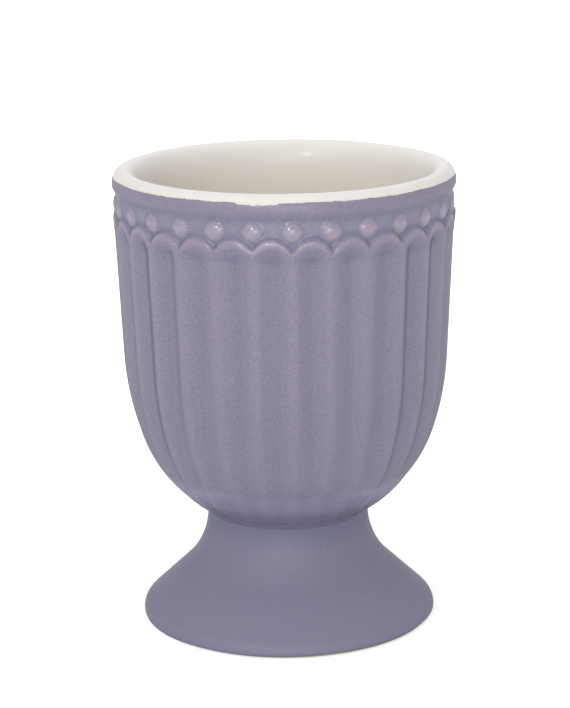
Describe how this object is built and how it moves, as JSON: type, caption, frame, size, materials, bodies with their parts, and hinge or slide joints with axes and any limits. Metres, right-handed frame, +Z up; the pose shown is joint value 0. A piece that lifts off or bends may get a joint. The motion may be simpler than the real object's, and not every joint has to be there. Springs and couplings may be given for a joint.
{
  "type": "egg cup",
  "caption": "Glazed stoneware egg cup: a fluted round-bottomed bowl with arched flute tops, a bead row and a smooth white lip, on a flared hollow foot.",
  "frame": {"origin": "centre of the foot ring, on the surface that the cup stands on", "axes": "+Z up along the cup's axis, out of its mouth; -Y is the side seen in the picture, with a ridge between two flutes at its middle"},
  "size_m": [0.0498, 0.0498, 0.0674],
  "materials": {
    "bare_stoneware": "bare fired clay",
    "slip": "bare fired slip",
    "lavender_glaze": "glossy speckled glaze",
    "white_glaze": "glossy smooth glaze"
  },
  "bodies": {
    "root": {"bowl": "bare_stoneware", "foot": "bare_stoneware", "luting_slip": "slip", "bowl_glaze": "lavender_glaze", "foot_glaze": "lavender_glaze", "lining_glaze": "white_glaze", "recess_glaze": "lavender_glaze"}
  },
  "joints": []
}
